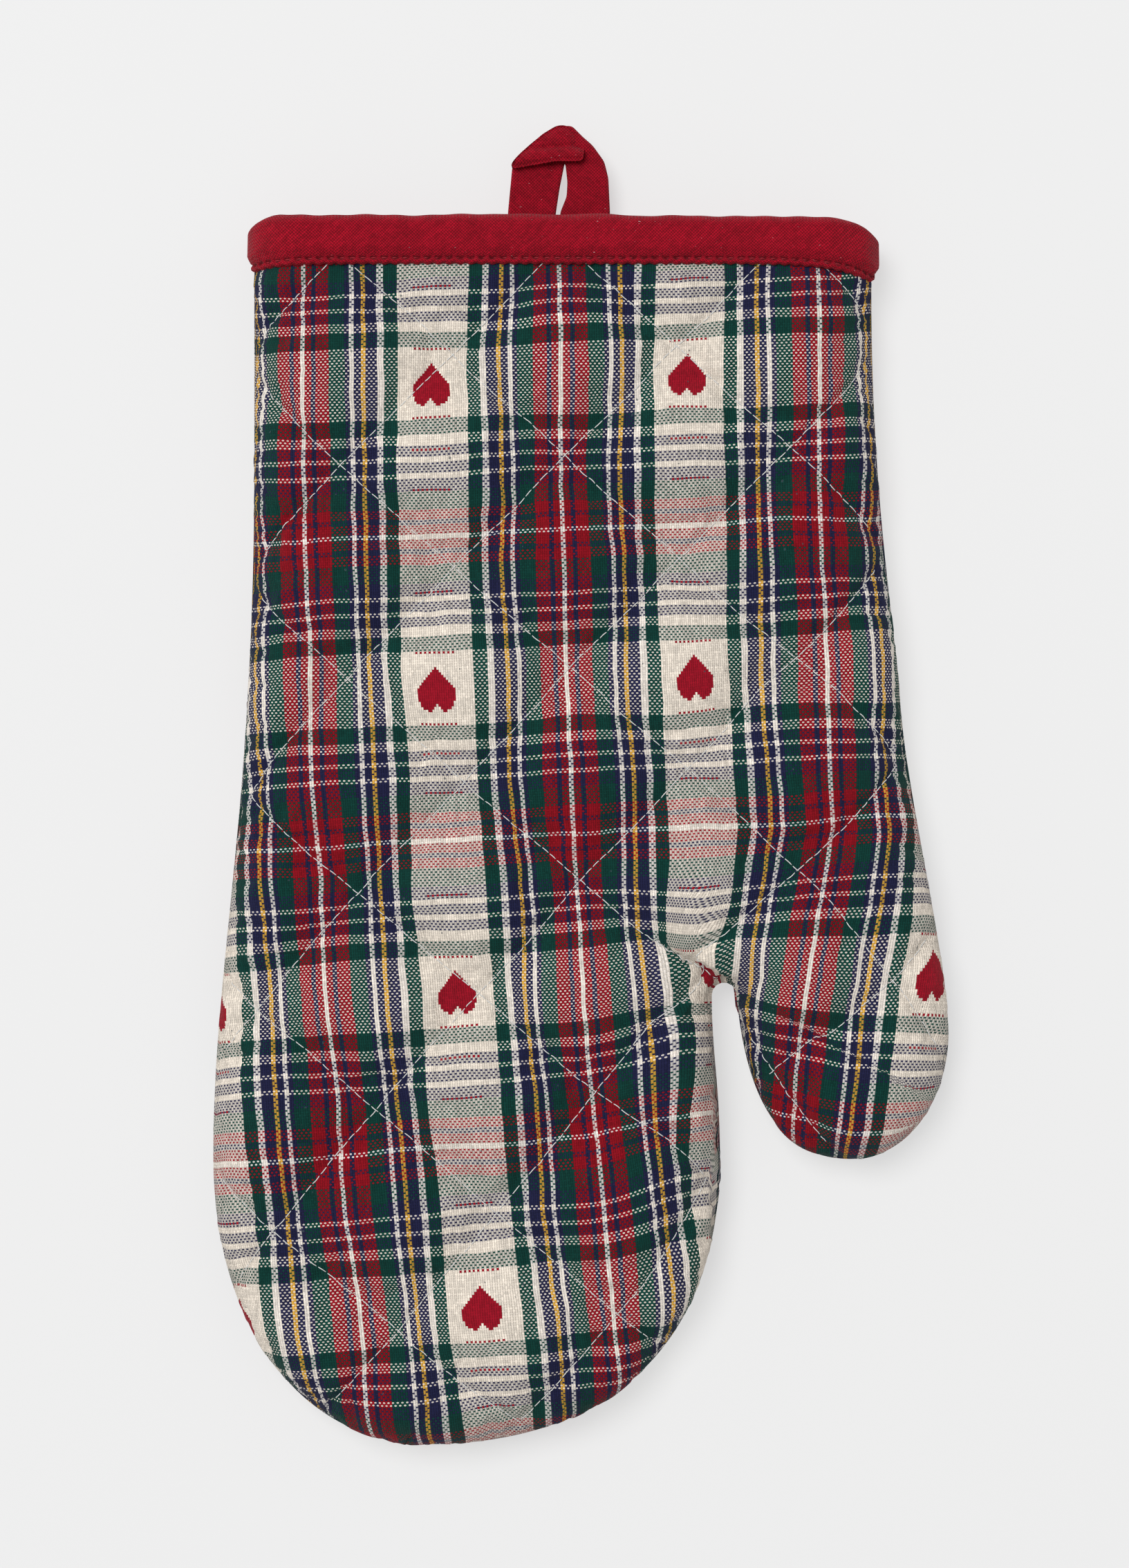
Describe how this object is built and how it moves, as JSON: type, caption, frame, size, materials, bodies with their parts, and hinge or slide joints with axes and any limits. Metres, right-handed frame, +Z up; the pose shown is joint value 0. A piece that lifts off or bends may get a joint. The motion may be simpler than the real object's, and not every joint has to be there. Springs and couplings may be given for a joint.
{
  "type": "oven mitt",
  "caption": "Quilted two-wall oven mitt with a thumb, bound cuff and a folded tape hanging loop.",
  "frame": {"origin": "under the middle of the mitt lying flat, loop included, on the table plane", "axes": "+X towards the thumb, +Y towards the mouth and the hanging loop, +Z up through the front wall"},
  "size_m": [0.1792, 0.3209, 0.022],
  "materials": {
    "plaid_cotton": "yarn-dyed plain-weave cotton plaid of red, cream, green, navy and gold, matt",
    "wadding": "needled cotton and polyester wadding",
    "lining_cotton": "plain undyed cotton lining, matt",
    "red_tape": "red cotton tape, plain weave, matt",
    "red_thread": "red spun sewing thread"
  },
  "bodies": {
    "palm": {"back_outer_palm": "plaid_cotton", "back_wadding_palm": "wadding", "back_lining_palm": "lining_cotton", "front_outer_palm": "plaid_cotton", "front_wadding_palm": "wadding", "front_lining_palm": "lining_cotton", "back_binding": "red_tape", "back_binding_topstitch": "red_thread", "seam_allowance_palm_left": "lining_cotton", "seam_allowance_palm_right": "lining_cotton", "seam_allowance_crotch": "lining_cotton", "loop_end_1": "red_tape", "loop_end_2": "red_tape", "loop_bar_tack_1": "red_thread", "loop_bar_tack_2": "red_thread"},
    "mouth_wall": {"front_outer_cuff": "plaid_cotton", "front_wadding_cuff": "wadding", "front_lining_cuff": "lining_cotton", "front_binding": "red_tape", "front_binding_topstitch": "red_thread"},
    "fingers": {"back_outer_fingers": "plaid_cotton", "back_wadding_fingers": "wadding", "back_lining_fingers": "lining_cotton", "front_outer_fingers": "plaid_cotton", "front_wadding_fingers": "wadding", "front_lining_fingers": "lining_cotton", "seam_allowance_fingers": "lining_cotton"},
    "thumb": {"back_outer_thumb": "plaid_cotton", "back_wadding_thumb": "wadding", "back_lining_thumb": "lining_cotton", "front_outer_thumb": "plaid_cotton", "front_wadding_thumb": "wadding", "front_lining_thumb": "lining_cotton", "seam_allowance_thumb": "lining_cotton"},
    "loop": {"hanging_loop": "red_tape"}
  },
  "joints": [
    {"name": "finger_curl", "type": "hinge", "parent": "palm", "child": "fingers", "pos_m": [0, -0.06555, 0.011], "axis": [-1, 0, 0], "range_deg": [-20, 75]},
    {"name": "thumb_fold", "type": "hinge", "parent": "palm", "child": "thumb", "pos_m": [0.0506, -0.05355, 0.011], "axis": [-0.5473, -0.837, 0], "range_deg": [-15, 40]},
    {"name": "mouth_open", "type": "hinge", "parent": "palm", "child": "mouth_wall", "pos_m": [0, 0.03945, 0.0187], "axis": [1, 0, 0], "range_deg": [0, 10]},
    {"name": "loop_swing", "type": "hinge", "parent": "palm", "child": "loop", "pos_m": [-0.005, 0.14105, 0.0078], "axis": [1, 0, 0], "range_deg": [-90, 90]}
  ]
}
